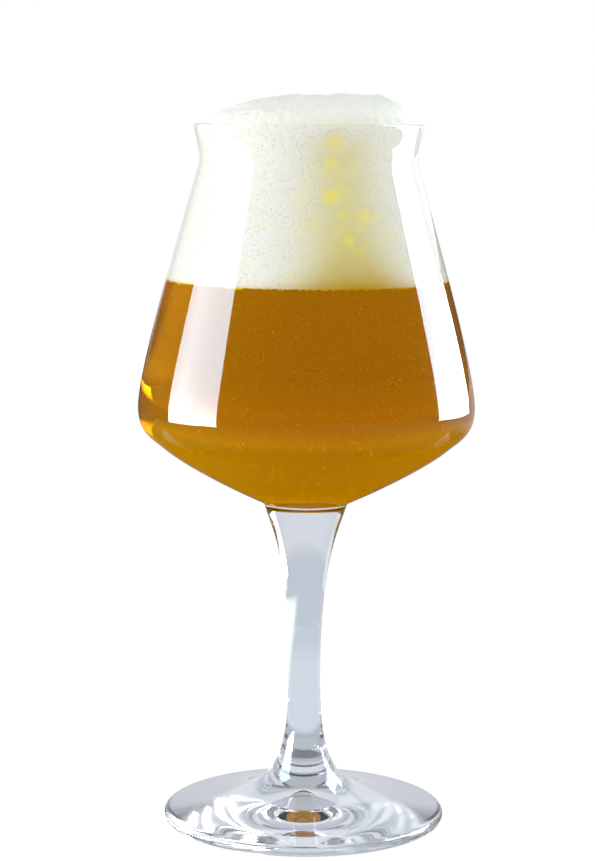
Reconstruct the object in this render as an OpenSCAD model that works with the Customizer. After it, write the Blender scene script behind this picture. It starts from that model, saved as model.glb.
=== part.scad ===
// Tulip beer glass on a stem, freshly filled: a blown bowl, a drawn stem and a disc foot,
// with the beer and the head of foam that the bowl holds.
// Lengths are in millimetres, +Z is up, and the origin is on the table under the foot's middle.

/* [Bowl] */
// Height of the rim above the table
rim_z = 198; // [192:0.5:210]
// Outside diameter of the rim
rim_d = 64.2; // [61:0.1:72]
// Height of the waist, the narrow place under the flared lip
waist_z = 188; // [182:0.5:190]
// Outside diameter of the waist
waist_d = 61; // [52:0.1:64]
// Height of the belly's widest place
belly_z = 119; // [114:0.5:126]
// Outside diameter of the belly
belly_d = 95; // [90:0.5:104]
// Height of the knee, where the belly's round turns into the bowl's underside
knee_z = 107.8; // [105:0.1:110]
// Outside diameter of the knee
knee_d = 81.4; // [74:0.1:86]
// Slope of the underside at the knee, in degrees
knee_slope = 40.5; // [34:0.5:44]
// Slope of the underside where it reaches the neck, in degrees
under_slope = 24; // [18:0.5:32]
// Height of the neck, where the bowl is joined to the stem
neck_z = 90; // [86:0.5:92]
// Diameter of the neck
neck_d = 22.8; // [18:0.1:26]
// How far the round above the neck reaches outwards
neck_flare = 1.6; // [1:0.1:3]
// How far the round above the neck reaches upwards
neck_rise = 2; // [1.2:0.1:3]

/* [Glass walls] */
// Thickness of the wall at the rim
rim_wall = 1.2; // [0.8:0.1:2]
// Thickness of the wall at the waist
waist_wall = 1.3; // [0.8:0.1:2.2]
// Thickness of the wall at the belly
belly_wall = 1.6; // [1:0.1:2.6]
// Thickness of the bowl's underside at the knee
knee_wall = 2; // [1.2:0.1:3]
// Thickness of the glass between the neck and the bottom of the bowl's inside
floor_wall = 3.2; // [2.4:0.1:4.5]

/* [Stem] */
// Diameter of the stem's thinnest place
stem_d = 9.1; // [7:0.1:12]
// Height of the stem's thinnest place
stem_thin_z = 42; // [34:0.5:55]
// Steepness of the stem's side at the neck, in degrees
neck_steepness = 74; // [66:0.5:82]

/* [Foot] */
// Diameter of the foot
foot_d = 80; // [72:0.5:90]
// Height at which the stem is joined to the foot
foot_top_z = 16; // [13:0.5:20]
// Diameter of the foot where it is joined to the stem
foot_top_d = 16.5; // [13:0.1:20]
// Steepness of the side where stem and foot meet, in degrees
foot_steepness = 59; // [50:0.5:70]
// Thickness of the foot's edge
edge_h = 3.3; // [2.4:0.1:5]
// How far the round of the foot's edge reaches inwards
edge_round = 2.5; // [1.5:0.1:4]
// Slope of the foot's top beside its edge, in degrees
edge_slope = 7.4; // [3:0.2:10]
// How far the flat ring that the glass stands on lies inside the foot's edge
ring_inset = 1.7; // [0.8:0.1:4]
// Diameter of the hollow in the middle of that ring
hollow_d = 21; // [16:0.5:40]
// Height of the hollow
hollow_h = 4.3; // [3:0.1:7]
// Slope of the hollow's wall at its edge, in degrees
hollow_slope = 18; // [10:0.5:30]

/* [Drink] */
// Height of the beer's surface
beer_z = 154.6; // [135:0.2:165]
// How far below the rim the foam starts to draw away from the wall
loose_depth = 1.5; // [1:0.5:12]
// Gap between the foam and the bowl's inside in the plane of the rim
crown_gap = 3.1; // [1:0.1:5]
// Height of the foam's crown above the rim
crown_h = 8.8; // [5:0.1:12]
// Width of the crown's rounded shoulder on its steep side, towards +X
steep_shoulder_w = 9; // [5:0.5:14]
// Width of the crown's shoulder on its gentle side, towards -X
gentle_shoulder_w = 26; // [18:0.5:27]
// Greatest height of a lump on the crown
lump_h = 1.1; // [0.4:0.1:2]

/* [Hidden] */
$fn = 128;

// Numbers of steps along each curve of the glass, round the foam, and up its gap and crown
curve_steps = 20;
foam_sectors = 40;
gap_rings = 4;
crown_rings = 8;

// Pulls of each curve's two end handles, as shares of the distance between its ends
neck_pull_shares = [0.35, 0.35];
under_pull_shares = [0.27, 0.24];
belly_pull_shares = [0.34, 0.52];
side_pull_shares = [0.175, 0.03];
lip_pull_shares = [0.35, 0.4];
dish_pull_shares = [0.35, 0.2];
stem_upper_pull_shares = [0.7, 0.14];
stem_lower_pull_shares = [0.29, 0.11];
foot_top_pull_shares = [0.08, 0.82];
edge_pull_shares = [0.5, 0.4];
hollow_pull_shares = [0.3, 0.2];

// Lean of the lip at the rim, as a share of the mean lean between waist and rim
lip_lean_share = 1.3;
// Steepness of the lip at the rim, in degrees
lip_steepness = 90 - lip_lean_share * atan((rim_d - waist_d) / 2 / (rim_z - waist_z));

// Lumps of the crown: place across and along, as shares of the crown's radius,
// then breadth as a share of that radius and height as a share of lump_h
crown_lump_shares = [
    [0.30, -0.10, 0.42, 0.80],
    [0.66, 0.06, 0.30, 0.90],
    [-0.18, -0.16, 0.34, 0.55],
    [0.02, 0.44, 0.40, 0.75],
    [0.34, -0.56, 0.36, 0.70],
    [-0.46, 0.30, 0.34, 0.65],
    [-0.52, -0.36, 0.30, 0.60],
    [0.48, 0.52, 0.32, 0.60],
    [-0.05, -0.66, 0.28, 0.50],
];

// Direction of a slope, as a vector of radius and height
function heading(angle) = [cos(angle), sin(angle)];

// Points of a smooth curve that leaves a along one heading and reaches b along another
function curve(a, a_angle, b, b_angle, pull_shares, steps = curve_steps) =
    let (
        span = norm(b - a),
        p = a + span * pull_shares[0] * heading(a_angle),
        q = b - span * pull_shares[1] * heading(b_angle)
    )
    [
        for (i = [0:steps])
            let (t = i / steps, s = 1 - t)
            s * s * s * a + 3 * s * s * t * p + 3 * s * t * t * q + t * t * t * b
    ];

// A list without its first point, for joining curves end to end
function rest(points) = [for (i = [1:len(points) - 1]) points[i]];

function reversed(points) = [for (i = [len(points) - 1:-1:0]) points[i]];

// Places that the curves run through, as radius and height
neck = [neck_d / 2, neck_z];
under = neck + [neck_flare, neck_rise];
knee = [knee_d / 2, knee_z];
belly = [belly_d / 2, belly_z];
waist = [waist_d / 2, waist_z];
lip_r = rim_wall / 2;
lip = [rim_d / 2 - lip_r, rim_z - lip_r];
dish = [0, neck_z + floor_wall];
inner_knee = knee + knee_wall * heading(knee_slope + 90);
inner_belly = belly - [belly_wall, 0];
inner_waist = waist - [waist_wall, 0];
stem_thin = [stem_d / 2, stem_thin_z];
foot_top = [foot_top_d / 2, foot_top_z];
foot_edge = [foot_d / 2, edge_h / 2];
foot_shoulder = foot_edge + [-edge_round, edge_h / 2];
ring_outer = [foot_d / 2 - ring_inset, 0];
ring_inner = [hollow_d / 2, 0];
hollow_top = [0, hollow_h];
loose_z = rim_z - loose_depth;

// The bowl's outside from neck to lip, and its inside from bottom to lip
bowl_outside = concat(
    curve(neck, neck_steepness, under, under_slope, neck_pull_shares),
    rest(curve(under, under_slope, knee, knee_slope, under_pull_shares)),
    rest(curve(knee, knee_slope, belly, 90, belly_pull_shares)),
    rest(curve(belly, 90, waist, 90, side_pull_shares)),
    rest(curve(waist, 90, lip + lip_r * heading(lip_steepness - 90), lip_steepness, lip_pull_shares))
);
bowl_inside = concat(
    curve(dish, 0, inner_knee, knee_slope, dish_pull_shares),
    rest(curve(inner_knee, knee_slope, inner_belly, 90, belly_pull_shares)),
    rest(curve(inner_belly, 90, inner_waist, 90, side_pull_shares)),
    rest(curve(inner_waist, 90, lip + lip_r * heading(lip_steepness + 90), lip_steepness, lip_pull_shares))
);
// The round over the rim, from outside to inside
rim_round = [
    for (i = [1:curve_steps - 1])
        lip + lip_r * heading(lip_steepness - 90 + 180 * i / curve_steps)
];

// Radius of the bowl's inside at a height
inside_by_height = [for (p = bowl_inside) [p[1], p[0]]];
function inside_r(z) = lookup(z, inside_by_height);

// Radius of the foam in the plane of the rim
crown_r = inside_r(rim_z) - crown_gap;

// Foam's outline from the beer up the wall, then with a widening gap up to the rim
foam_wall = concat(
    [[inside_r(beer_z), beer_z]],
    [for (p = bowl_inside) if (p[1] > beer_z && p[1] < loose_z) p],
    [
        for (i = [0:gap_rings])
            let (t = i / gap_rings, z = loose_z + (rim_z - loose_z) * t)
            [inside_r(z) - crown_gap * t * t * (3 - 2 * t), z]
    ]
);

// Height of one lump over a point of the crown, a smooth round bump that ends at its breadth
function lump(x, y, shares) =
    let (
        breadth = shares[2] * crown_r,
        away = norm([x, y] - crown_r * [shares[0], shares[1]]) / breadth,
        fall = max(0, 1 - away * away)
    )
    shares[3] * lump_h * fall * fall;

function total(values, i = 0) = i < len(values) ? values[i] + total(values, i + 1) : 0;

// Height of the crown above the rim at a radius and an angle: a round shoulder, wide towards -X
// and narrow towards +X, with the lumps on top
function crown_rise(r, angle) =
    let (
        middle_w = (gentle_shoulder_w + steep_shoulder_w) / 2,
        swing_w = (gentle_shoulder_w - steep_shoulder_w) / 2,
        shoulder_w = middle_w - swing_w * cos(angle),
        inward = min(1, (crown_r - r) / shoulder_w),
        shoulder = sqrt(1 - (1 - inward) * (1 - inward)),
        lumps = [for (shares = crown_lump_shares) lump(r * cos(angle), r * sin(angle), shares)]
    )
    shoulder * (crown_h - lump_h + total(lumps));

// One ring of the foam's skin, at an outline point or across the crown
function wall_ring(p) =
    [for (i = [0:foam_sectors - 1]) let (a = 360 * i / foam_sectors) [p[0] * cos(a), p[0] * sin(a), p[1]]];
function crown_ring(r) =
    [
        for (i = [0:foam_sectors - 1])
            let (a = 360 * i / foam_sectors)
            [r * cos(a), r * sin(a), rim_z + crown_rise(r, a)]
    ];

// Rings of the crown lie closer together on its steep shoulder than in its middle
crown_radii = [for (i = [1:crown_rings - 1]) crown_r * cos(90 * i / crown_rings)];
foam_rings = concat(
    [for (p = foam_wall) wall_ring(p)],
    [for (r = crown_radii) crown_ring(r)]
);

// Turned solid of an outline given as radius and height
module turned(outline) {
    rotate_extrude() polygon(outline);
}

module bowl() {
    color("gainsboro", 0.35)
        turned(concat([[0, neck_z]], bowl_outside, rim_round, reversed(bowl_inside)));
}

module stem() {
    color("lightsteelblue", 0.35)
        turned(concat(
            [[0, foot_top_z]],
            curve(foot_top, 180 - foot_steepness, stem_thin, 90, stem_lower_pull_shares),
            rest(curve(stem_thin, 90, neck, neck_steepness, stem_upper_pull_shares)),
            [[0, neck_z]]
        ));
}

module foot() {
    color("lightgray", 0.35)
        turned(concat(
            [[0, foot_top_z]],
            curve(foot_top, -foot_steepness, foot_shoulder, -edge_slope, foot_top_pull_shares),
            rest(curve(foot_shoulder, -edge_slope, foot_edge, -90, edge_pull_shares)),
            rest(curve(foot_edge, -90, ring_outer, -180, edge_pull_shares)),
            curve(ring_inner, 180 - hollow_slope, hollow_top, 180, hollow_pull_shares)
        ));
}

module beer() {
    color("darkgoldenrod", 0.85)
        turned(concat(
            [for (p = bowl_inside) if (p[1] < beer_z) p],
            [[inside_r(beer_z), beer_z], [0, beer_z]]
        ));
}

module foam_head() {
    rings = len(foam_rings);
    top = rings * foam_sectors;
    bottom = top + 1;
    points = concat(
        [for (ring = foam_rings) each ring],
        [[0, 0, rim_z + crown_rise(0, 0)], [0, 0, beer_z]]
    );
    sides = [
        for (k = [0:rings - 2], i = [0:foam_sectors - 1])
            let (
                j = (i + 1) % foam_sectors,
                a = k * foam_sectors + i,
                b = k * foam_sectors + j,
                c = b + foam_sectors,
                d = a + foam_sectors
            )
            each [[a, d, c], [a, c, b]]
    ];
    caps = [
        for (i = [0:foam_sectors - 1])
            let (j = (i + 1) % foam_sectors, last = top - foam_sectors)
            each [[last + i, top, last + j], [i, j, bottom]]
    ];
    color("cornsilk")
        polyhedron(points = points, faces = concat(sides, caps));
}

bowl();
stem();
foot();
beer();
foam_head();
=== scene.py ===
"""Looks of a filled tulip beer glass: clear glass, amber beer with its bubbles, and a head of foam.

Every piece is a surface worked out with numpy, in metres, in the part's own frame: +Z up along the
glass's axis, origin on the table under the foot. Outlines are rows of radius and height.
"""

import math

import bpy
import numpy as np
from mathutils import Matrix, Vector


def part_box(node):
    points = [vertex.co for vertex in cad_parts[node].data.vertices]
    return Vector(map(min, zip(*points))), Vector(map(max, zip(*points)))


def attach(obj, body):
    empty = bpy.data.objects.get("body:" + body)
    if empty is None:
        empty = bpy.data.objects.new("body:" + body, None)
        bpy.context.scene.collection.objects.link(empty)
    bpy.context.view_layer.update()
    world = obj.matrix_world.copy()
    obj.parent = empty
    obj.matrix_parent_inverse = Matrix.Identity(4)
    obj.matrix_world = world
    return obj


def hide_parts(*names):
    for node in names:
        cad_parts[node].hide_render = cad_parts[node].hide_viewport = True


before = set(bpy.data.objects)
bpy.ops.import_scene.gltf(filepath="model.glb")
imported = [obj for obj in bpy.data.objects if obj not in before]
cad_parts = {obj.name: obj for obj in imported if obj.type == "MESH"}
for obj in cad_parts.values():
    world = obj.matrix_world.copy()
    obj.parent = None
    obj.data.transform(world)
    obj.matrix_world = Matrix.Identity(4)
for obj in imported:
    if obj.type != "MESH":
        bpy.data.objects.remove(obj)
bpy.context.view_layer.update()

MM = 0.001
FULL_TURN = 2 * math.pi

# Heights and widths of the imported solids.
NECK_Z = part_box("stem")[1].z
FOOT_TOP_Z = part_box("foot")[1].z
FOOT_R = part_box("foot")[1].x
RIM_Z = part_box("bowl")[1].z
BELLY_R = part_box("bowl")[1].x
BEER_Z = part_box("beer")[1].z

# The part's other sizes. Slopes and steepnesses are in degrees from level.
RIM_R = 32.1 * MM
WAIST = np.array([30.5, 188.0]) * MM
BELLY_Z = 119.0 * MM
KNEE = np.array([40.7, 107.8]) * MM
KNEE_SLOPE = 40.5
UNDER_SLOPE = 24.0
NECK_R = 11.4 * MM
NECK_ROUND = np.array([1.6, 2.0]) * MM
RIM_WALL = 1.2 * MM
WAIST_WALL = 1.3 * MM
BELLY_WALL = 1.6 * MM
KNEE_WALL = 2.0 * MM
FLOOR_WALL = 3.2 * MM
STEM_THIN = np.array([4.55, 42.0]) * MM
NECK_STEEPNESS = 74.0
FOOT_TOP_R = 8.25 * MM
FOOT_STEEPNESS = 59.0
EDGE_H = 3.3 * MM
EDGE_ROUND = 2.5 * MM
EDGE_SLOPE = 7.4
RING_INSET = 1.7 * MM
HOLLOW_R = 10.5 * MM
HOLLOW_H = 4.3 * MM
HOLLOW_SLOPE = 18.0
CROWN_GAP = 3.1 * MM
CROWN_H = 8.8 * MM
STEEP_SHOULDER_W = 9.0 * MM
GENTLE_SHOULDER_W = 26.0 * MM
LUMP_H = 1.1 * MM
LIP_LEAN_SHARE = 1.3

# The foam clings to the wall up to here, a little higher than its solid does.
LOOSE_Z = RIM_Z - 0.3 * MM

# Pulls of each curve's two end handles, as shares of the distance between its ends.
NECK_PULLS = (0.35, 0.35)
UNDER_PULLS = (0.27, 0.24)
BELLY_PULLS = (0.34, 0.52)
SIDE_PULLS = (0.175, 0.03)
LIP_PULLS = (0.35, 0.4)
DISH_PULLS = (0.35, 0.2)
STEM_UPPER_PULLS = (0.7, 0.14)
STEM_LOWER_PULLS = (0.29, 0.11)
FOOT_TOP_PULLS = (0.08, 0.82)
EDGE_PULLS = (0.5, 0.4)
HOLLOW_PULLS = (0.3, 0.2)

# Lumps of the crown: place across and along and breadth, as shares of the crown's radius, then
# height as a share of LUMP_H.
CROWN_LUMPS = (
    (0.30, -0.10, 0.42, 0.80),
    (0.66, 0.06, 0.30, 0.90),
    (-0.18, -0.16, 0.34, 0.55),
    (0.02, 0.44, 0.40, 0.75),
    (0.34, -0.56, 0.36, 0.70),
    (-0.46, 0.30, 0.34, 0.65),
    (-0.52, -0.36, 0.30, 0.60),
    (0.48, 0.52, 0.32, 0.60),
    (-0.05, -0.66, 0.28, 0.50),
)

# The photograph's frame and the camera that took it.
PHOTO_W = 595
PHOTO_H = 861
FOCAL_PX = 2307.0
SENSOR_MM = 36.0
CAMERA_AT = Vector((0, -647, 197.7)) * MM
CAMERA_PITCH = 7.54
CAMERA_YAW = 0.22
CAMERA_ROLL = 0.4

# Indices of refraction, and the gaps that keep touching surfaces from lying in each other.
GLASS_IOR = 1.52
BEER_IOR = 1.34
BEER_INSET = 0.02 * MM
FOAM_INSET = 0.05 * MM

# Steps round a turned piece and along one curve of its outline, the distance under which two points
# of an outline are one, and the turn in degrees past which an edge stays sharp.
SECTORS = 256
CURVE_STEPS = 24
SAME_POINT = 0.0002 * MM
SHARP_TURN = 50
NEVER_SHARP = 180

RANDOM_SEED = 11


class Value:
    """An output socket of a node tree. Arithmetic on it adds a Math node and gives that node's output."""

    def __init__(self, tree, socket):
        self.tree = tree
        self.socket = socket

    def math(self, operation, *inputs):
        return self.tree.node("ShaderNodeMath", {"operation": operation}, dict(enumerate(inputs)))

    def __add__(self, other):
        return self.math("ADD", self, other)

    def __radd__(self, other):
        return self.math("ADD", other, self)

    def __sub__(self, other):
        return self.math("SUBTRACT", self, other)

    def __rsub__(self, other):
        return self.math("SUBTRACT", other, self)

    def __mul__(self, other):
        return self.math("MULTIPLY", self, other)

    def __rmul__(self, other):
        return self.math("MULTIPLY", other, self)

    def __truediv__(self, other):
        return self.math("DIVIDE", self, other)

    def __rtruediv__(self, other):
        return self.math("DIVIDE", other, self)

    def larger(self, other):
        """The larger of two values."""
        return self.math("MAXIMUM", self, other)

    def size(self):
        """The value without its sign."""
        return self.math("ABSOLUTE", self)

    def step(self, low, high):
        """0 up to low, 1 from high on, and a smooth rise between."""
        settings = {"interpolation_type": "SMOOTHSTEP"}
        return self.tree.node("ShaderNodeMapRange", settings, {0: self, 1: low, 2: high})


class Tree:
    """The node tree of a material or the world, emptied, then filled one node at a time."""

    def __init__(self, owner):
        owner.use_nodes = True
        self.nodes = owner.node_tree.nodes
        self.links = owner.node_tree.links
        self.nodes.clear()

    def node(self, kind, settings=None, sockets=None, output=0):
        """Adds a node, sets its settings, then gives each socket its value or link. Returns one output."""
        made = self.nodes.new(kind)
        for name, value in (settings or {}).items():
            setattr(made, name, value)
        for name, value in (sockets or {}).items():
            if isinstance(value, Value):
                self.links.new(value.socket, made.inputs[name])
            else:
                made.inputs[name].default_value = value
        return Value(self, made.outputs[output]) if made.outputs else None

    def mix_colour(self, factor, a, b):
        return self.node("ShaderNodeMix", {"data_type": "RGBA"}, {0: factor, 6: a, 7: b}, 2)

    def mix_shader(self, factor, a, b):
        return self.node("ShaderNodeMixShader", None, {0: factor, 1: a, 2: b})

    def ray_is(self, kind):
        """1 for rays of one kind, and 0 for all others."""
        return self.node("ShaderNodeLightPath", output=f"Is {kind} Ray")

    def place(self):
        """The place on the object, in metres."""
        return self.node("ShaderNodeTexCoord", output="Object")

    def axis(self, name, vector=None):
        """One coordinate of a vector or, where none is given, of the place on the object."""
        return self.node("ShaderNodeSeparateXYZ", None, {0: vector or self.place()}, name)

    def facing(self):
        """0 where a surface is seen straight on, and 1 along its outline."""
        return self.node("ShaderNodeLayerWeight", output="Facing")

    def layer(self, name):
        """A number that each point of the piece carries."""
        return self.node("ShaderNodeAttribute", {"attribute_name": name}, output="Fac")

    def noise(self, scale, detail=2.0):
        """Smooth noise from 0 to 1, with as many waves a metre as its scale."""
        sockets = {"Vector": self.place(), "Scale": scale, "Detail": detail}
        return self.node("ShaderNodeTexNoise", None, sockets)

    def cells(self, size, output="Distance"):
        """Cells of a size: the distance from the middle of the nearest one, or that one's own colour."""
        sockets = {"Vector": self.place(), "Scale": 1 / size}
        return self.node("ShaderNodeTexVoronoi", None, sockets, output)


def opaque(r, g, b):
    """A colour as a socket takes it."""
    return (r, g, b, 1.0)


def heading(angle):
    """Direction of a slope in degrees, as radius and height."""
    return np.array([math.cos(math.radians(angle)), math.sin(math.radians(angle))])


def curve(a, a_angle, b, b_angle, pulls, steps=CURVE_STEPS):
    """Cubic curve that leaves a along one heading and reaches b along another. Its two handles are
    the pulls times the distance between a and b."""
    span = np.linalg.norm(b - a)
    p = a + span * pulls[0] * heading(a_angle)
    q = b - span * pulls[1] * heading(b_angle)
    t = np.linspace(0, 1, steps + 1)[:, None]
    s = 1 - t
    return s**3 * a + 3 * s**2 * t * p + 3 * s * t**2 * q + t**3 * b


def joined(*runs):
    """Runs of an outline end to end, each point that two runs share kept once."""
    points = np.vstack(runs)
    fresh = np.linalg.norm(np.diff(points, axis=0), axis=1) > SAME_POINT
    return points[np.concatenate([[True], fresh])]


def smooth_step(x, low, high):
    """0 up to low, 1 from high on, and between them three squares less two cubes of the way."""
    t = np.clip((x - low) / (high - low), 0, 1)
    return t * t * (3 - 2 * t)


# Places that the outlines run through.
NECK = np.array([NECK_R, NECK_Z])
UNDER = NECK + NECK_ROUND
BELLY = np.array([BELLY_R, BELLY_Z])
LIP_R = RIM_WALL / 2
LIP = np.array([RIM_R - LIP_R, RIM_Z - LIP_R])
LIP_STEEPNESS = 90 - LIP_LEAN_SHARE * math.degrees(math.atan2(RIM_R - WAIST[0], RIM_Z - WAIST[1]))
DISH = np.array([0, NECK_Z + FLOOR_WALL])
INNER_KNEE = KNEE + KNEE_WALL * heading(KNEE_SLOPE + 90)
INNER_BELLY = BELLY - [BELLY_WALL, 0]
INNER_WAIST = WAIST - [WAIST_WALL, 0]
FOOT_TOP = np.array([FOOT_TOP_R, FOOT_TOP_Z])
FOOT_EDGE = np.array([FOOT_R, EDGE_H / 2])
FOOT_SHOULDER = FOOT_EDGE + [-EDGE_ROUND, EDGE_H / 2]
RING_OUTER = np.array([FOOT_R - RING_INSET, 0])
RING_INNER = np.array([HOLLOW_R, 0])
HOLLOW_TOP = np.array([0, HOLLOW_H])

BOWL_OUTSIDE = joined(
    curve(NECK, NECK_STEEPNESS, UNDER, UNDER_SLOPE, NECK_PULLS),
    curve(UNDER, UNDER_SLOPE, KNEE, KNEE_SLOPE, UNDER_PULLS),
    curve(KNEE, KNEE_SLOPE, BELLY, 90, BELLY_PULLS),
    curve(BELLY, 90, WAIST, 90, SIDE_PULLS, 2 * CURVE_STEPS),
    curve(WAIST, 90, LIP + LIP_R * heading(LIP_STEEPNESS - 90), LIP_STEEPNESS, LIP_PULLS),
)
BOWL_INSIDE = joined(
    curve(DISH, 0, INNER_KNEE, KNEE_SLOPE, DISH_PULLS),
    curve(INNER_KNEE, KNEE_SLOPE, INNER_BELLY, 90, BELLY_PULLS),
    curve(INNER_BELLY, 90, INNER_WAIST, 90, SIDE_PULLS, 2 * CURVE_STEPS),
    curve(INNER_WAIST, 90, LIP + LIP_R * heading(LIP_STEEPNESS + 90), LIP_STEEPNESS, LIP_PULLS),
)


def radius_at(outline, z):
    """Radius of a rising outline at a height."""
    return np.interp(z, outline[:, 1], outline[:, 0])


def split_at(outline, z):
    """A rising outline with a point added at a height."""
    k = np.searchsorted(outline[:, 1], z)
    return np.insert(outline, k, [radius_at(outline, z), z], axis=0)


def around(outline, sectors):
    """Rows of points of an outline carried round the axis: x = r cos a, y = r sin a, z = height."""
    a = np.linspace(0, FULL_TURN, sectors, endpoint=False)
    r, z = outline[:, :1], outline[:, 1:]
    return np.stack([r * np.cos(a), r * np.sin(a), z + 0 * a], axis=-1)


def closed_faces(rows, sectors):
    """Faces over rows of points round the axis, closed by a fan at each end. The points are numbered
    row by row, then the pole before the first row, then the pole after the last."""
    i = np.arange(sectors)
    j = np.roll(i, -1)
    start = np.arange(rows - 1)[:, None] * sectors
    quads = np.stack([start + i, start + j, start + sectors + j, start + sectors + i], axis=-1)
    first, last, top = rows * sectors, rows * sectors + 1, (rows - 1) * sectors
    first_fan = np.stack([first + 0 * i, j, i], axis=-1)
    last_fan = np.stack([top + i, top + j, last + 0 * i], axis=-1)
    return quads.reshape(-1, 4), first_fan, last_fan


def add_piece(name, points, faces, materials, face_materials=None, sharp=SHARP_TURN):
    """A smooth-shaded mesh at the origin. Edges that turn by more than sharp degrees stay sharp."""
    mesh = bpy.data.meshes.new(name)
    mesh.from_pydata(points.tolist(), [], [face for part in faces for face in part.tolist()])
    for material in materials:
        mesh.materials.append(material)
    if face_materials is not None:
        mesh.polygons.foreach_set("material_index", np.asarray(face_materials, np.int32))
    mesh.shade_smooth()
    mesh.set_sharp_from_angle(angle=math.radians(sharp))
    piece = bpy.data.objects.new(name, mesh)
    bpy.context.scene.collection.objects.link(piece)
    return piece


def turned_piece(name, outline, materials, run_materials):
    """A solid turned from an outline that runs from the axis round to the axis again. run_materials
    numbers the material of each stretch between two points."""
    rows = outline[1:-1]
    poles = [[0, 0, outline[0, 1]], [0, 0, outline[-1, 1]]]
    points = np.vstack([around(rows, SECTORS).reshape(-1, 3), poles])
    stretches = np.concatenate([run_materials[1:-1], run_materials[:1], run_materials[-1:]])
    faces = closed_faces(len(rows), SECTORS)
    return add_piece(name, points, faces, materials, np.repeat(stretches, SECTORS))


# The glass: its tint, its waves a metre and their height, and the finish of the ring it stands on.
GLASS_TINT = opaque(0.95, 0.97, 0.985)
GLASS_WAVES = 60.0
BOWL_WAVE = 0.01 * MM
STEM_WAVE = 0.03 * MM
RING_ROUGHNESS = 0.05

# The bowl mirrors all over above these heights, and below them only near its outline.
UNDERSIDE_DULL_Z = (BELLY_Z - 9 * MM, BELLY_Z - 2 * MM)
MIRROR_FACING = (0.8, 0.96)

# The share of light that reaches what lies behind a piece.
ALL_LIGHT = opaque(1, 1, 1)
STEM_LIGHT = opaque(0.6, 0.63, 0.65)

# The beer: its haze with painted light, pale below the belly and deep above, with clouds in it, how clear
# it is, and what it absorbs.
BEER_HAZE_SHADED_ABOVE = opaque(0.80, 0.50, 0.0)
BEER_HAZE_LIT_BELOW = opaque(1.0, 0.79, 0.0)
BEER_TURN_Z = (BELLY_Z - 6 * MM, BELLY_Z + 1 * MM)
BEER_CLOUDS = 90.0
BEER_CLOUD_SHARE = 0.2
NOISE_MEAN = 0.5
BEER_CLEARNESS = 0.8
BEER_PASSES = opaque(0.906, 0.662, 0.077)
BEER_DENSITY = 65.0

# The foam: its clouds of cream and pale, its crown, its painted shade, the parts that beer shows in, and
# the wet foam with a painted glow.
FOAM_CREAM = opaque(0.90, 0.885, 0.79)
FOAM_PALE = opaque(0.915, 0.92, 0.85)
FOAM_CLOUDS = 120.0
FOAM_CLOUD_DETAIL = 3.0
FOAM_CROWN = opaque(0.885, 0.905, 0.84)
FOAM_SHADE = opaque(0.72, 0.65, 0.27)
FOAM_GOLD = opaque(0.97, 0.80, 0.13)
FOAM_WET_GLOW = opaque(0.49, 0.275, 0.0)

# The foam's fine bubbles: their sizes and relief, and which of them are open pits darkened by painted
# shade, as ranges of a bubble's own random number and of the distance from its middle.
FINE_BUBBLE = 0.6 * MM
SMALL_BUBBLE = 1.3 * MM
FOAM_RELIEF = 0.3
FOAM_PIT_SHADE = opaque(0.62, 0.62, 0.50)
FOAM_PIT_SHADE_SHARE = 0.65
PIT_CHOICE = (0.55, 0.8)
PIT_EDGE = (0.2, 0.55)
FOAM_ROUGHNESS = 0.6
FOAM_IOR = 1.33
FOAM_GLOSS = 0.05

# The bubbles in the beer: a pale colour that stands in for their glints as a painted highlight, and a gold
# one.
BUBBLE_PAINTED_GLINT = opaque(0.95, 0.85, 0.5)
BUBBLE_GOLD = opaque(0.85, 0.62, 0.15)
BUBBLE_ROUGHNESS = 0.3


def finished(name, fill):
    """A material whose nodes are added by fill, which returns the output's sockets."""
    material = bpy.data.materials.new(name)
    tree = Tree(material)
    tree.node("ShaderNodeOutputMaterial", None, fill(tree))
    return material


def lets_lamps_through(tree, surface, share):
    """The surface for camera, mirror and see-through rays, and a plain share of the light for shadow
    and scattered rays, so lamps light what stands inside."""
    passing = tree.ray_is("Shadow").larger(tree.ray_is("Diffuse"))
    clear = tree.node("ShaderNodeBsdfTransparent", None, {"Color": share})
    return tree.mix_shader(passing, surface, clear)


def glass_material(name, ior, wave_height, share, roughness=0.0, dull_z=None):
    """Clear glass with the faint waviness that worked glass keeps, which lets a share of the lamps'
    light through. Where two heights are given, its outside mirrors things only near its outline up to
    the lower one, and all over from the higher one on."""

    def fill(tree):
        wave = tree.node("ShaderNodeBump", None, {
            "Strength": 1.0, "Distance": wave_height, "Height": tree.noise(GLASS_WAVES),
        })
        surface = tree.node("ShaderNodeBsdfPrincipled", None, {
            "Base Color": GLASS_TINT, "Roughness": roughness, "IOR": ior, "Transmission Weight": 1.0,
            "Normal": wave,
        })
        if dull_z:
            outside = 1 - tree.node("ShaderNodeNewGeometry", output="Backfacing")
            dulled = outside * (1 - tree.axis("Z").step(*dull_z)) * (1 - tree.facing().step(*MIRROR_FACING))
            bent = {"Color": GLASS_TINT, "IOR": ior, "Roughness": roughness}
            dull = tree.node("ShaderNodeBsdfRefraction", None, bent)
            surface = tree.mix_shader(dulled, surface, dull)
        return {"Surface": lets_lamps_through(tree, surface, share)}

    return finished(name, fill)


def seam_material():
    """The hot join inside the glass, where nothing bends or reflects light."""

    def fill(tree):
        return {"Surface": tree.node("ShaderNodeBsdfPrincipled", None, {"Alpha": 0.0})}

    return finished("hot_seam", fill)


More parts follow.
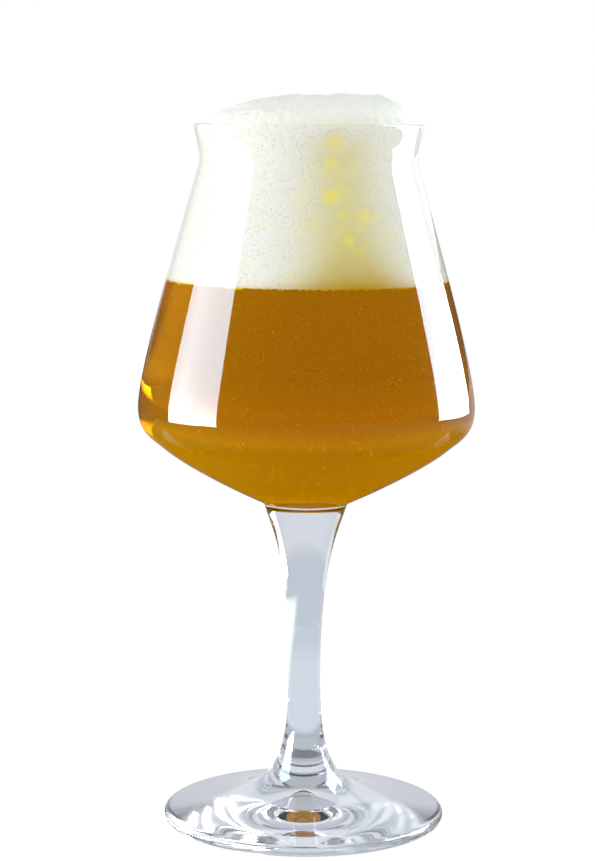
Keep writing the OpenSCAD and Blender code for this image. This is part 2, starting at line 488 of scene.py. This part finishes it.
def beer_material():
    """Amber beer. The bowl's wetted wall bends the light, so the beer's own surface doesn't."""

    def fill(tree):
        clouds = BEER_CLOUD_SHARE * (tree.noise(BEER_CLOUDS) - NOISE_MEAN)
        # Painted light: the haze is paler low down and deeper amber high up, as the light's path through
        # the beer is shorter or longer.
        haze_and_painted_light = tree.mix_colour(tree.axis("Z").step(*BEER_TURN_Z) + clouds, BEER_HAZE_LIT_BELOW, BEER_HAZE_SHADED_ABOVE)
        surface = tree.node("ShaderNodeBsdfPrincipled", None, {
            "Base Color": haze_and_painted_light, "Roughness": 0.0, "IOR": 1.0, "Transmission Weight": BEER_CLEARNESS,
        })
        amber = {"Color": BEER_PASSES, "Density": BEER_DENSITY}
        return {
            "Surface": lets_lamps_through(tree, surface, ALL_LIGHT),
            "Volume": tree.node("ShaderNodeVolumeAbsorption", None, amber),
        }

    return finished("amber_beer", fill)


def foam_material():
    """Fine foam: clouds of cream and pale, another white on the crown, painted shade and gold where the
    beer shows in it, a painted glow of the beer over the wet foam, and small bubbles in its colour, with
    painted shade in their pits, and in its relief."""

    def fill(tree):
        height = tree.axis("Z")
        fine = tree.cells(FINE_BUBBLE)
        number = tree.node("ShaderNodeSeparateColor", None, {0: tree.cells(FINE_BUBBLE, "Color")})
        # Painted shade in the open pits of fine bubbles below the loose edge.
        pit_shade = number.step(*PIT_CHOICE) * (1 - fine.step(*PIT_EDGE)) * (1 - height.step(LOOSE_Z, RIM_Z))
        colour = tree.mix_colour(tree.noise(FOAM_CLOUDS, FOAM_CLOUD_DETAIL), FOAM_CREAM, FOAM_PALE)
        colour = tree.mix_colour(height.step(LOOSE_Z, RIM_Z + CROWN_GAP), colour, FOAM_CROWN)
        # Painted shade up the column and above the glow.
        colour = tree.mix_colour(tree.layer("shade"), colour, FOAM_SHADE)
        colour = tree.mix_colour(pit_shade * FOAM_PIT_SHADE_SHARE, colour, FOAM_PIT_SHADE)
        colour = tree.mix_colour(tree.layer("gold"), colour, FOAM_GOLD)
        # Wet foam near the beer with a painted glow of the beer's light, strongest on one side.
        colour = tree.mix_colour(tree.layer("wetness_and_glow"), colour, FOAM_WET_GLOW)
        relief = tree.node("ShaderNodeBump", None, {
            "Strength": FOAM_RELIEF, "Distance": FINE_BUBBLE / 2, "Height": fine + tree.cells(SMALL_BUBBLE),
        })
        surface = tree.node("ShaderNodeBsdfPrincipled", None, {
            "Base Color": colour, "Roughness": FOAM_ROUGHNESS, "IOR": FOAM_IOR,
            "Specular IOR Level": FOAM_GLOSS, "Normal": relief,
        })
        return {"Surface": surface}

    return finished("beer_foam", fill)


def bubble_material():
    """Small bubbles in the beer, pale with a painted highlight that stands in for their glints."""

    def fill(tree):
        colour = tree.mix_colour(tree.noise(1 / SMALL_BUBBLE), BUBBLE_PAINTED_GLINT, BUBBLE_GOLD)
        sockets = {"Base Color": colour, "Roughness": BUBBLE_ROUGHNESS}
        return {"Surface": tree.node("ShaderNodeBsdfPrincipled", None, sockets)}

    return finished("beer_bubble", fill)


def bowl_piece():
    """The bowl: outside from the neck to the lip, the round of the rim, and inside down to the dish.
    Below the foam's loose edge the inside is wetted, so light bends there as from glass to beer."""
    turn = np.linspace(LIP_STEEPNESS - 90, LIP_STEEPNESS + 90, CURVE_STEPS + 1)[1:-1, None]
    rim = LIP + LIP_R * np.hstack([np.cos(np.radians(turn)), np.sin(np.radians(turn))])
    inside = split_at(BOWL_INSIDE, LOOSE_Z)[::-1]
    outline = joined([[0, NECK_Z]], BOWL_OUTSIDE, rim, inside)
    dry, wetted, seam = range(3)
    run = np.full(len(outline) - 1, dry)
    run[len(outline) - len(inside):] = np.where(inside[1:, 1] < LOOSE_Z, wetted, dry)
    run[0] = seam
    materials = (
        glass_material("bowl_glass", GLASS_IOR, BOWL_WAVE, ALL_LIGHT, dull_z=UNDERSIDE_DULL_Z),
        glass_material("wetted_glass", GLASS_IOR / BEER_IOR, BOWL_WAVE, ALL_LIGHT),
        seam_material(),
    )
    return turned_piece("bowl_shell", outline, materials, run)


def stem_piece():
    """The stem, from its flare on the foot over its thin place up to the neck."""
    outline = joined(
        [[0, FOOT_TOP_Z]],
        curve(FOOT_TOP, 180 - FOOT_STEEPNESS, STEM_THIN, 90, STEM_LOWER_PULLS),
        curve(STEM_THIN, 90, NECK, NECK_STEEPNESS, STEM_UPPER_PULLS, 2 * CURVE_STEPS),
        [[0, NECK_Z]],
    )
    polished, seam = range(2)
    run = np.full(len(outline) - 1, polished)
    run[[0, -1]] = seam
    materials = (glass_material("stem_glass", GLASS_IOR, STEM_WAVE, STEM_LIGHT), seam_material())
    return turned_piece("stem_rod", outline, materials, run)


def foot_piece():
    """The foot: from the axis down the hollow's S-shaped curve, out along the ground standing ring,
    round the edge, and over the top to the stem."""
    top = curve(FOOT_TOP, -FOOT_STEEPNESS, FOOT_SHOULDER, -EDGE_SLOPE, FOOT_TOP_PULLS, 3 * CURVE_STEPS)
    edge = joined(
        curve(FOOT_SHOULDER, -EDGE_SLOPE, FOOT_EDGE, -90, EDGE_PULLS),
        curve(FOOT_EDGE, -90, RING_OUTER, -180, EDGE_PULLS),
    )
    hollow = curve(RING_INNER, 180 - HOLLOW_SLOPE, HOLLOW_TOP, 180, HOLLOW_PULLS)
    outline = joined([[0, FOOT_TOP_Z]], top, edge, hollow)[::-1]
    standing = outline[:, 1] == 0
    polished, seam, ground = range(3)
    run = np.full(len(outline) - 1, polished)
    run[-1] = seam
    run[standing[1:] & standing[:-1]] = ground
    materials = (
        glass_material("foot_glass", GLASS_IOR, STEM_WAVE, STEM_LIGHT),
        seam_material(),
        glass_material("ground_ring", GLASS_IOR, STEM_WAVE, STEM_LIGHT, RING_ROUGHNESS),
    )
    return turned_piece("foot_disc", outline, materials, run)


def beer_piece():
    """The beer: the bowl's inside, moved in by a hair along its normal, up to the level surface."""
    wall = split_at(BOWL_INSIDE, BEER_Z)
    wall = wall[wall[:, 1] <= BEER_Z]
    along = np.gradient(wall, axis=0)
    along /= np.linalg.norm(along, axis=1, keepdims=True)
    wall = wall + BEER_INSET * np.stack([-along[:, 1], along[:, 0]], axis=-1)
    wall[0, 0] = 0
    top = BEER_Z - BEER_INSET
    wall[-1, 1] = top
    outline = joined(wall, [[0, top]])
    return turned_piece("beer_fill", outline, (beer_material(),), np.zeros(len(outline) - 1, int))


# The foam's mesh: steps round it, up the wall, over its loose edge and over the crown.
FOAM_SECTORS = 512
WALL_ROWS = 105
SHELF_ROWS = 12
CROWN_ROWS = 60

# How far the foam's lower edge dips unevenly into the beer.
HEM_H = 0.7 * MM

# The crown lies lower than its solid by the sink, and small bubbles raise it again: how many and how
# large, how much crown a place needs to have one, and the power that steepens their sides.
CROWN_SINK = 0.5 * MM
CROWN_BUBBLES = 420
CROWN_BUBBLE_R = (0.9 * MM, 2.6 * MM)
CROWN_BUBBLE_SHARE = 0.3
CROWN_BUBBLE_POWER = 4

# Large bubbles seen in the foam through the glass: place across and down and radius, in pixels of the
# photograph, then how golden each one is.
SEEN_BUBBLES = (
    (336, 142, 9, 0.55), (332, 164, 8, 0.5), (332, 197, 8, 0.85), (343, 215, 4, 0.5),
    (366, 217, 8, 0.6), (351, 241, 6, 0.75), (391, 235, 4, 0.3), (258, 227, 5, 0.15),
    (257, 213, 4, 0.1), (303, 231, 4, 0.3), (303, 222, 4, 0.3), (244, 266, 6, 0.2),
    (288, 277, 4, 0.25),
)

# They fade out at their edges, so they are made larger than they look. Smaller ones lie beside each.
WINDOW_SPREAD = 1.5
WINDOW_POWER = 3
DENT_SHARE = 0.25
BESIDE_BUBBLES = 2
BESIDE_SIZES = (0.3, 0.6)
BESIDE_GOLD = 0.5

# The column of pale bubbles at one side of the front, as degrees round from +X, the bubbles that lie
# against the glass all round, and the froth on the beer.
COLUMN_BUBBLES = 70
COLUMN_ANGLE = -73.0
COLUMN_BREADTH = 7.0
COLUMN_BUBBLE_R = (1.2 * MM, 3.0 * MM)
COLUMN_GOLD = (0.05, 0.25)
SCATTERED_BUBBLES = 60
SCATTERED_BUBBLE_R = (0.5 * MM, 1.4 * MM)
SCATTERED_GOLD = (0.05, 0.3)
FROTH_BUBBLES = 260
FROTH_BUBBLE_R = (0.4 * MM, 0.9 * MM)
FROTH_GOLD = (0.2, 0.5)
FROTH_H = 0.6 * MM

# The painted glow of the beer in the foam, over the wet foam's own colour: its side in degrees round
# from +X and its breadth, how high it reaches there, and how high and how strong it is all round.
GLOW_ANGLE = -70.0
GLOW_BREADTH = 24.0
GLOW_HIGH_H = 5.0 * MM
GLOW_LOW_H = 0.5 * MM
GLOW_LOW_SHARE = 0.35

# Painted shade: the darker foam above the glow and up the column, which ends between two heights.
LOW_SHADE = 0.7
LOW_SHADE_H = 10.0 * MM
COLUMN_SHADE = 0.75
COLUMN_SHADE_BREADTH = 20.0
COLUMN_FADE_Z = (0.188, 0.202)

# A ray to the bowl is walked over this stretch, in shares of the camera's distance.
WALK_SHARES = (0.8, 1.1)
WALK_STEPS = 6000


def camera_turn():
    """The camera's rotation: pitched down from level, then yawed, with a little roll of its own."""
    yaw = Matrix.Rotation(math.radians(CAMERA_YAW), 4, "Z")
    pitch = Matrix.Rotation(math.radians(90 - CAMERA_PITCH), 4, "X")
    roll = Matrix.Rotation(math.radians(CAMERA_ROLL), 4, "Z")
    return yaw @ pitch @ roll


def seen_on_bowl(across, down):
    """Angle round the axis and height where the ray through a pixel first meets the bowl's outside,
    and the size of a pixel there. The ray is walked in small steps to the first point inside."""
    aim = Vector(((across - PHOTO_W / 2) / FOCAL_PX, (PHOTO_H / 2 - down) / FOCAL_PX, -1))
    aim = np.array(camera_turn().to_3x3() @ aim)
    far = np.linspace(*WALK_SHARES, WALK_STEPS)[:, None] * -CAMERA_AT.y
    points = np.array(CAMERA_AT) + far * aim
    inside = np.hypot(points[:, 0], points[:, 1]) < radius_at(BOWL_OUTSIDE, points[:, 2])
    k = np.argmax(inside)
    return math.atan2(points[k, 1], points[k, 0]), points[k, 2], far[k, 0] / FOCAL_PX


def crown_rise(r, angle):
    """Height of the crown above the rim: a round shoulder, wide towards -X and narrow towards +X,
    times the crown's height with its smooth round lumps."""
    crown_r = radius_at(BOWL_INSIDE, RIM_Z) - CROWN_GAP
    middle_w = (GENTLE_SHOULDER_W + STEEP_SHOULDER_W) / 2
    swing_w = (GENTLE_SHOULDER_W - STEEP_SHOULDER_W) / 2
    inward = np.clip((crown_r - r) / (middle_w - swing_w * np.cos(angle)), 0, 1)
    lumps = 0
    for x, y, breadth, height in CROWN_LUMPS:
        away = np.hypot(r * np.cos(angle) - x * crown_r, r * np.sin(angle) - y * crown_r)
        lumps = lumps + height * LUMP_H * np.clip(1 - (away / breadth / crown_r) ** 2, 0, 1) ** 2
    return np.sqrt(1 - (1 - inward) ** 2) * (CROWN_H - LUMP_H + lumps)


def foam_skin(random):
    """Rows of points of the plain foam: up the bowl's wall from an uneven hem just below the beer's
    surface, away from the wall by a widening gap above the loose edge, and over the crown."""
    z = np.concatenate([
        np.linspace(BEER_Z, LOOSE_Z, WALL_ROWS, endpoint=False), np.linspace(LOOSE_Z, RIM_Z, SHELF_ROWS),
    ])
    gap = FOAM_INSET + CROWN_GAP * smooth_step(z, LOOSE_Z, RIM_Z)
    wall = around(np.stack([radius_at(BOWL_INSIDE, z) - gap, z], axis=-1), FOAM_SECTORS)
    wall[0, :, 2] -= HEM_H * random.random(FOAM_SECTORS) ** 2
    angle = np.linspace(0, FULL_TURN, FOAM_SECTORS, endpoint=False)
    crown_r = np.hypot(*wall[-1, 0, :2])
    r = crown_r * np.cos(np.linspace(0, math.pi / 2, CROWN_ROWS + 1)[1:-1, None])
    crown = np.stack([r * np.cos(angle), r * np.sin(angle), RIM_Z + crown_rise(r, angle)], axis=-1)
    return np.concatenate([wall, crown])


def skin_normals(skin):
    """Outward normals of rows of points that run up and round the axis."""
    up = np.gradient(skin, axis=0)
    on = np.roll(skin, -1, axis=1) - np.roll(skin, 1, axis=1)
    normals = np.cross(on, up)
    return normals / np.linalg.norm(normals, axis=-1, keepdims=True)


def bubble_reach(skin, centre, radius):
    """Height of a ball over the skin, in radii: a half circle of the distance from its centre."""
    away = np.linalg.norm(skin - centre, axis=-1) / radius
    return np.sqrt(np.clip(1 - away**2, 0, 1))


def crown_bumps(skin, crown, random):
    """How far small bubbles raise the crown: at each point the highest of many balls at random places,
    each to a power that steepens it and as a share of the largest one."""
    rows, sectors = np.nonzero(crown > CROWN_BUBBLE_SHARE)
    bumps = np.zeros(skin.shape[:2])
    for k in random.integers(0, len(rows), CROWN_BUBBLES):
        radius = random.uniform(*CROWN_BUBBLE_R)
        reach = bubble_reach(skin, skin[rows[k], sectors[k]], radius)
        bumps = np.maximum(bumps, reach**CROWN_BUBBLE_POWER * radius / CROWN_BUBBLE_R[1])
    return bumps


def foam_windows(random):
    """Angle, height, radius and gold of each large bubble against the glass: those of the photograph,
    each with smaller ones beside it, a pale column on one side, more all round, and froth."""
    windows = []
    for across, down, pixels, share in SEEN_BUBBLES:
        angle, z, pixel = seen_on_bowl(across, down)
        radius = WINDOW_SPREAD * pixels * pixel
        windows.append((angle, z, radius, share))
        turns = random.uniform(0, FULL_TURN, BESIDE_BUBBLES)
        sizes = random.uniform(*BESIDE_SIZES, BESIDE_BUBBLES)
        for turn, size in zip(turns, sizes):
            shifted = angle + radius * math.cos(turn) / radius_at(BOWL_INSIDE, z)
            windows.append((shifted, z + radius * math.sin(turn), size * radius, BESIDE_GOLD * share))
    low, high = BEER_Z + CROWN_H, LOOSE_Z - CROWN_GAP
    for _ in range(COLUMN_BUBBLES):
        angle = math.radians(random.normal(COLUMN_ANGLE, COLUMN_BREADTH))
        share = random.uniform(*COLUMN_GOLD)
        windows.append((angle, random.uniform(low, high), random.uniform(*COLUMN_BUBBLE_R), share))
    for _ in range(SCATTERED_BUBBLES):
        angle = random.uniform(0, FULL_TURN)
        share = random.uniform(*SCATTERED_GOLD)
        windows.append((angle, random.uniform(low, high), random.uniform(*SCATTERED_BUBBLE_R), share))
    for _ in range(FROTH_BUBBLES):
        angle = random.uniform(0, FULL_TURN)
        share = random.uniform(*FROTH_GOLD)
        z = BEER_Z + random.exponential(FROTH_H)
        windows.append((angle, z, random.uniform(*FROTH_BUBBLE_R), share))
    return windows


def window_marks(skin, random):
    """Depth of the dents, and how golden the foam is, where large bubbles lie against the glass: at
    each point that of the deepest ball, and of the most golden one, to a power that fades its edge."""
    dents = np.zeros(skin.shape[:2])
    gold = np.zeros(skin.shape[:2])
    for angle, z, radius, share in foam_windows(random):
        r = radius_at(BOWL_INSIDE, z) - FOAM_INSET
        centre = np.array([r * math.cos(angle), r * math.sin(angle), z])
        reach = bubble_reach(skin, centre, radius)
        dents = np.maximum(dents, share * reach * radius * DENT_SHARE)
        gold = np.maximum(gold, share * reach**WINDOW_POWER)
    return dents, gold


def turned_towards(skin, angle, breadth):
    """1 where the skin faces an angle round the axis, falling as a bell curve to both sides."""
    away = np.arctan2(skin[..., 1], skin[..., 0]) - math.radians(angle)
    away = (away + math.pi) % FULL_TURN - math.pi
    return np.exp(-((away / math.radians(breadth)) ** 2))


def wet_and_painted_glow(skin):
    """How much beer shows in the foam, as wet foam and as a painted glow: a share times e to the minus
    height above the beer over a reach. On the side of the glow the share is 1 and the reach is longest."""
    above = np.maximum(skin[..., 2] - BEER_Z, 0)
    side = turned_towards(skin, GLOW_ANGLE, GLOW_BREADTH)
    share = GLOW_LOW_SHARE + (1 - GLOW_LOW_SHARE) * side
    return share * np.exp(-above / (GLOW_LOW_H + (GLOW_HIGH_H - GLOW_LOW_H) * side))


def column_shade(skin):
    """How much painted shade darkens the foam: one share up the column of large bubbles to where it
    fades out, and more on the side of the glow, times e to the minus height above the beer over a reach."""
    above = skin[..., 2] - BEER_Z
    low = turned_towards(skin, GLOW_ANGLE, GLOW_BREADTH) * LOW_SHADE * np.exp(-above / LOW_SHADE_H)
    column = turned_towards(skin, COLUMN_ANGLE, COLUMN_SHADE_BREADTH) * COLUMN_SHADE
    return np.clip(low + column * (1 - smooth_step(skin[..., 2], *COLUMN_FADE_Z)), 0, 1)


def add_layer(piece, name, values):
    """One number for each point of a piece, for its material to read."""
    layer = piece.data.attributes.new(name, "FLOAT", "POINT")
    layer.data.foreach_set("value", np.array(values, np.float32))


def foam_piece(random):
    """The head of foam: the plain skin, sunk along its normals on the crown and raised again by small
    bubbles, with round dents where large bubbles lie against the glass."""
    skin = foam_skin(random)
    normals = skin_normals(skin)
    crown = smooth_step(skin[..., 2], RIM_Z - CROWN_SINK, RIM_Z + CROWN_SINK)
    bumps = crown_bumps(skin, crown, random)
    # Painted shade up the column and above the glow.
    shade = column_shade(skin)
    # Wet foam with a painted glow of the beer.
    wetness_and_glow = wet_and_painted_glow(skin)
    dents, gold = window_marks(skin, random)
    skin = skin + normals * (crown * CROWN_SINK * (bumps - 1) - dents)[..., None]
    poles = [[0, 0, BEER_Z], [0, 0, RIM_Z + crown_rise(0, 0) - CROWN_SINK]]
    points = np.vstack([skin.reshape(-1, 3), poles])
    piece = add_piece("foam_crown", points, closed_faces(len(skin), FOAM_SECTORS), (foam_material(),))
    add_layer(piece, "gold", [*gold.ravel(), 0, 0])
    add_layer(piece, "shade", [*shade.ravel(), 0, 0])
    add_layer(piece, "wetness_and_glow", [*wetness_and_glow.ravel(), 1, 0])
    return piece


# Bubbles that hang in the beer: how many, their heights and radii, how far out they lie as shares of
# the bowl's inside, and the steps of one ball.
BEER_BUBBLES = 1600
BUBBLE_Z = (NECK_Z + 2 * FLOOR_WALL, BEER_Z - FLOOR_WALL)
BUBBLE_R = (0.05 * MM, 0.15 * MM)
BUBBLE_OUT_SHARES = (0.6, 0.96)
BUBBLE_SECTORS = 6
BUBBLE_ROWS = 3


def bubbles_piece(random):
    """Bubbles in the beer: one coarse ball repeated, each at its own height, angle and size, and at a
    share of the bowl's inner radius that keeps it nearer to the wall than to the axis."""
    z = random.uniform(*BUBBLE_Z, BEER_BUBBLES)
    angle = random.uniform(0, FULL_TURN, BEER_BUBBLES)
    size = random.uniform(*BUBBLE_R, BEER_BUBBLES)
    r = radius_at(BOWL_INSIDE, z) * random.uniform(*BUBBLE_OUT_SHARES, BEER_BUBBLES)
    centres = np.stack([r * np.cos(angle), r * np.sin(angle), z], axis=-1)
    lift = np.linspace(-math.pi / 2, math.pi / 2, BUBBLE_ROWS + 2)[1:-1]
    ball = around(np.stack([np.cos(lift), np.sin(lift)], axis=-1), BUBBLE_SECTORS).reshape(-1, 3)
    ball = np.vstack([ball, [0, 0, -1], [0, 0, 1]])
    points = centres[:, None] + size[:, None, None] * ball
    numbers = np.arange(BEER_BUBBLES)[:, None, None] * len(ball)
    ball_faces = closed_faces(BUBBLE_ROWS, BUBBLE_SECTORS)
    faces = [(part + numbers).reshape(-1, part.shape[1]) for part in ball_faces]
    materials = (bubble_material(),)
    return add_piece("beer_bubbles", points.reshape(-1, 3), faces, materials, sharp=NEVER_SHARP)


WHITE = opaque(1, 1, 1)

# The table, just below the foot. The camera sees it white, but for a share of the light on it.
FLOOR_HALF = 3.0
FLOOR_Z = -0.2 * MM
FLOOR_COLOUR = opaque(0.9, 0.9, 0.9)
FLOOR_LIT_SHARE = 0.25
FLOOR_GLOW = 1.15

# The table in mirrors: dark, but paler with a painted sheen behind the glass where it is seen at a low
# angle, except far towards -X. Behind begins at a slope of Y over X, with X widened near the axis.
FLOOR_MIRRORED = opaque(0.04, 0.04, 0.05)
FLOOR_FAR_SHEEN = opaque(0.45, 0.46, 0.49)
FAR_X = (-0.2, -0.08)
FAR_NEAR = 0.03
FAR_SLOPE = (0.0, 0.4)
FAR_GRAZED = (0.6, 0.82)

# The table through glass: grey, a little paler near the glass, with painted shade under the foot that is
# darkest in the middle where it is looked down on, and a painted pool of lamp light towards +X that ends
# far behind.
FLOOR_THROUGH = opaque(0.525, 0.56, 0.62)
FLOOR_NEAR = opaque(0.61, 0.65, 0.72)
NEAR_R = (0.18, 0.3)
FLOOR_SHADE_UNDER = opaque(0.42, 0.45, 0.50)
UNDER_R = (0.045, 0.06)
FLOOR_SHADE = opaque(0.18, 0.19, 0.21)
SHADE_R = (0.008, 0.013)
SHADE_GRAZED = (0.3, 0.65)
FLOOR_PAINTED_POOL = opaque(1.3, 1.7, 1.45)
POOL_X = (0.12, 0.30)
POOL_Y = (0.30, 0.80)

# The room: white to the camera, bright in mirrors only straight behind the glass, an even grey light on
# matt surfaces, and through glass grey behind, brighter up and to the sides, and dark in front. Its
# ranges are of a ray's direction.
ROOM_DARK = opaque(0.04, 0.04, 0.05)
ROOM_BACK = opaque(0.80, 0.81, 0.84)
ROOM_LOW = opaque(0.604, 0.644, 0.713)
ROOM_HIGH = opaque(0.74, 0.77, 0.84)
ROOM_SIDES = opaque(0.92, 0.98, 1.03)
ROOM_LIGHT = opaque(0.62, 0.62, 0.62)
BEHIND_Y = (-0.2, 0.3)
BACK_LEFT_X = (-0.45, -0.18)
BACK_RIGHT_X = (0.1, 0.28)
HIGH_Z = (0.04, 0.16)
SIDES_X = (0.65, 0.85)


def floor_piece():
    """A plain pale table, white to the camera but for the glass's shadow. Through glass and in mirrors it
    shows painted shade, a painted pool of light and a painted sheen.
    """
    half = FLOOR_HALF
    points = np.array([[-half, -half, 0], [half, -half, 0], [half, half, 0], [-half, half, 0]])
    points[:, 2] = FLOOR_Z

    def fill(tree):
        lit = tree.node("ShaderNodeBsdfDiffuse", None, {"Color": FLOOR_COLOUR})
        aside = tree.axis("X")
        back = tree.axis("Y")
        away = tree.node("ShaderNodeVectorMath", {"operation": "LENGTH"}, {0: tree.place()}, "Value")
        facing = tree.facing()
        # A painted pool of the soft boxes' light, and painted shade under the foot.
        painted_pool = aside.step(*POOL_X) * (1 - back.step(*POOL_Y))
        through = tree.mix_colour(away.step(*NEAR_R), FLOOR_NEAR, FLOOR_THROUGH)
        through = tree.mix_colour(painted_pool, through, FLOOR_PAINTED_POOL)
        through = tree.mix_colour(away.step(*UNDER_R), FLOOR_SHADE_UNDER, through)
        shade = (1 - away.step(*SHADE_R)) * (1 - facing.step(*SHADE_GRAZED))
        through = tree.mix_colour(shade, through, FLOOR_SHADE)
        slope = back / (aside.size() + FAR_NEAR)
        # Painted sheen: the table paler in mirrors where it is seen at a low angle far behind.
        far = slope.step(*FAR_SLOPE) * facing.step(*FAR_GRAZED) * aside.step(*FAR_X)
        mirrored = tree.mix_colour(far, FLOOR_MIRRORED, FLOOR_FAR_SHEEN)
        shown = tree.mix_colour(tree.ray_is("Transmission"), mirrored, through)
        shown = tree.mix_colour(tree.ray_is("Camera"), shown, WHITE)
        glow = tree.node("ShaderNodeEmission", None, {"Color": shown, "Strength": FLOOR_GLOW})
        share = FLOOR_LIT_SHARE * tree.ray_is("Camera") + tree.ray_is("Diffuse")
        return {"Surface": tree.mix_shader(share, glow, lit)}

    floor = add_piece("table", points, [np.array([[0, 1, 2, 3]])], (finished("pale_table", fill),))


def room():
    """The world: one colour for each kind of ray, by where the ray goes."""
    world = bpy.data.worlds.new("studio")
    bpy.context.scene.world = world
    tree = Tree(world)
    toward = tree.node("ShaderNodeTexCoord", output="Generated")
    aside = tree.axis("X", toward)
    behind = tree.axis("Y", toward).step(*BEHIND_Y)
    back = behind * aside.step(*BACK_LEFT_X) * (1 - aside.step(*BACK_RIGHT_X))
    mirrored = tree.mix_colour(back, ROOM_DARK, ROOM_BACK)
    through = tree.mix_colour(tree.axis("Z", toward).step(*HIGH_Z), ROOM_LOW, ROOM_HIGH)
    through = tree.mix_colour(aside.size().step(*SIDES_X), through, ROOM_SIDES)
    through = tree.mix_colour(behind, ROOM_DARK, through)
    shown = tree.mix_colour(tree.ray_is("Glossy"), ROOM_LIGHT, mirrored)
    shown = tree.mix_colour(tree.ray_is("Transmission"), shown, through)
    shown = tree.mix_colour(tree.ray_is("Camera"), shown, WHITE)
    background = tree.node("ShaderNodeBackground", None, {"Color": shown})
    tree.node("ShaderNodeOutputWorld", None, {"Surface": background})


# The lamps: azimuths count in degrees from the camera's side, positive to the right. A panel turns from
# white to its colour between two heights, and a soft box dims by a share towards one end.
LAMP_COLOUR = opaque(0.68, 0.91, 1.1)
LAMP_DISTANCE = 0.6
LEFT_LAMP_AZIMUTHS = (-60, -103)
RIGHT_LAMP_AZIMUTHS = (97, 140)
LAMP_TOP = 0.8
LAMP_FADE_Z = (0.05, 0.25)
LAMP_DIM = 0.3
FILL_DISTANCE = 0.9


def bright_panel(name, ends, heights, radiance, mirrored, colour=WHITE, low_gain=0.0, dim_y=None):
    """A standing rectangle of light between two places on the table. It is seen either in mirrors or
    through glass, and lights nothing else. Low down it is white and gains some brightness, and it dims
    from one place along Y to another, if they are given."""
    corners = zip(np.asarray(ends)[[0, 1, 1, 0]], np.repeat(heights, 2))
    points = np.array([[*end, z] for end, z in corners])

    def fill(tree):
        low = 1 - tree.axis("Z").step(*LAMP_FADE_Z)
        strength = radiance * (1 + low_gain * low)
        if dim_y:
            strength = strength * (1 - LAMP_DIM * tree.axis("Y").step(*dim_y))
        glow = {"Color": tree.mix_colour(low, colour, WHITE), "Strength": strength}
        return {"Surface": tree.node("ShaderNodeEmission", None, glow)}

    panel = add_piece(name, points, [np.array([[0, 1, 2, 3]])], (finished(name, fill),))
    panel.visible_camera = False
    panel.visible_diffuse = False
    panel.visible_shadow = False
    panel.visible_glossy = mirrored
    panel.visible_transmission = not mirrored


def beside(azimuths, distance):
    """Places on the table at azimuths and a distance from the axis."""
    turn = np.radians(azimuths)
    return distance * np.stack([np.sin(turn), -np.cos(turn)], axis=-1)


def fill_lamp(name, azimuth, elevation, size, level):
    """A large square lamp turned to the glass that only lights matt surfaces. Level is the brightness
    of a white surface that faces it."""
    lamp = bpy.data.lights.new(name, "AREA")
    lamp.size = size
    lamp.energy = level * math.pi**2 * FILL_DISTANCE**2
    holder = bpy.data.objects.new(name, lamp)
    bpy.context.scene.collection.objects.link(holder)
    a, e = math.radians(azimuth), math.radians(elevation)
    away = Vector((math.sin(a) * math.cos(e), -math.cos(a) * math.cos(e), math.sin(e)))
    holder.location = Vector((0, 0, BELLY_Z)) + FILL_DISTANCE * away
    holder.rotation_euler = away.to_track_quat("Z", "Y").to_euler()
    holder.visible_camera = False
    holder.visible_glossy = False
    holder.visible_transmission = False


def studio_lamps():
    """A tall soft box at each side, seen in mirrors, with a glow in its place that is seen through
    glass, cards that brighten the rim, the bowl's right edge and the foot, and lamps on the foam."""
    left = beside(LEFT_LAMP_AZIMUTHS, LAMP_DISTANCE)
    right = beside(RIGHT_LAMP_AZIMUTHS, LAMP_DISTANCE)
    bright_panel(
        "left_softbox", left, heights=(0.008, LAMP_TOP), radiance=14.0, mirrored=True,
        colour=LAMP_COLOUR, low_gain=0.6, dim_y=(0.0, 0.12),
    )
    bright_panel(
        "right_softbox", right, heights=(0.055, LAMP_TOP), radiance=18.5, mirrored=True,
        colour=LAMP_COLOUR, low_gain=0.6, dim_y=(0.27, 0.19),
    )
    bright_panel("left_glow", left, heights=(0.0, LAMP_TOP), radiance=1.4, mirrored=False)
    bright_panel(
        "right_glow", right, heights=(0.08, LAMP_TOP), radiance=1.4, mirrored=False, low_gain=13.0,
    )
    bright_panel(
        "rim_card", ends=((-0.16, 0.09), (0.16, 0.09)), heights=(0.165, 0.30), radiance=0.97,
        mirrored=False,
    )
    bright_panel(
        "edge_card", ends=beside((128, 160), 0.25), heights=(0.179, 0.3), radiance=1.25, mirrored=True,
    )
    bright_panel(
        "foot_card", ends=((-0.2, 0.06), (0.2, 0.06)), heights=(0.0, 0.05), radiance=0.8, mirrored=True,
    )
    fill_lamp("left_fill", azimuth=-52, elevation=22, size=0.6, level=0.43)
    fill_lamp("side_fill", azimuth=-105, elevation=0, size=0.5, level=0.45)
    fill_lamp("right_fill", azimuth=85, elevation=20, size=0.5, level=0.33)


def camera():
    """The photograph's camera, whose focal length in pixels is taken over the frame's long side."""
    data = bpy.data.cameras.new("camera")
    data.sensor_width = SENSOR_MM
    data.lens = FOCAL_PX * SENSOR_MM / PHOTO_H
    holder = bpy.data.objects.new("camera", data)
    holder.matrix_world = Matrix.Translation(CAMERA_AT) @ camera_turn()
    bpy.context.scene.collection.objects.link(holder)
    bpy.context.scene.camera = holder


def light_paths():
    """Enough bounces for light that crosses many glass walls."""
    cycles = bpy.context.scene.cycles
    cycles.max_bounces = 24
    cycles.glossy_bounces = 12
    cycles.transmission_bounces = 20
    cycles.transparent_max_bounces = 32


def build():
    """Makes every piece, in the place of its node or, for the bubbles, in the beer."""
    random = np.random.default_rng(RANDOM_SEED)
    made = {
        "bowl": bowl_piece(),
        "stem": stem_piece(),
        "foot": foot_piece(),
        "beer": beer_piece(),
        "foam_head": foam_piece(random),
    }
    for node, piece in made.items():
        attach(piece, "root")
        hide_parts(node)
    bubbles = bubbles_piece(random)
    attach(bubbles, "root")


build()
floor_piece()
room()
studio_lamps()
camera()
light_paths()
bpy.context.scene.view_settings.view_transform = "Standard"
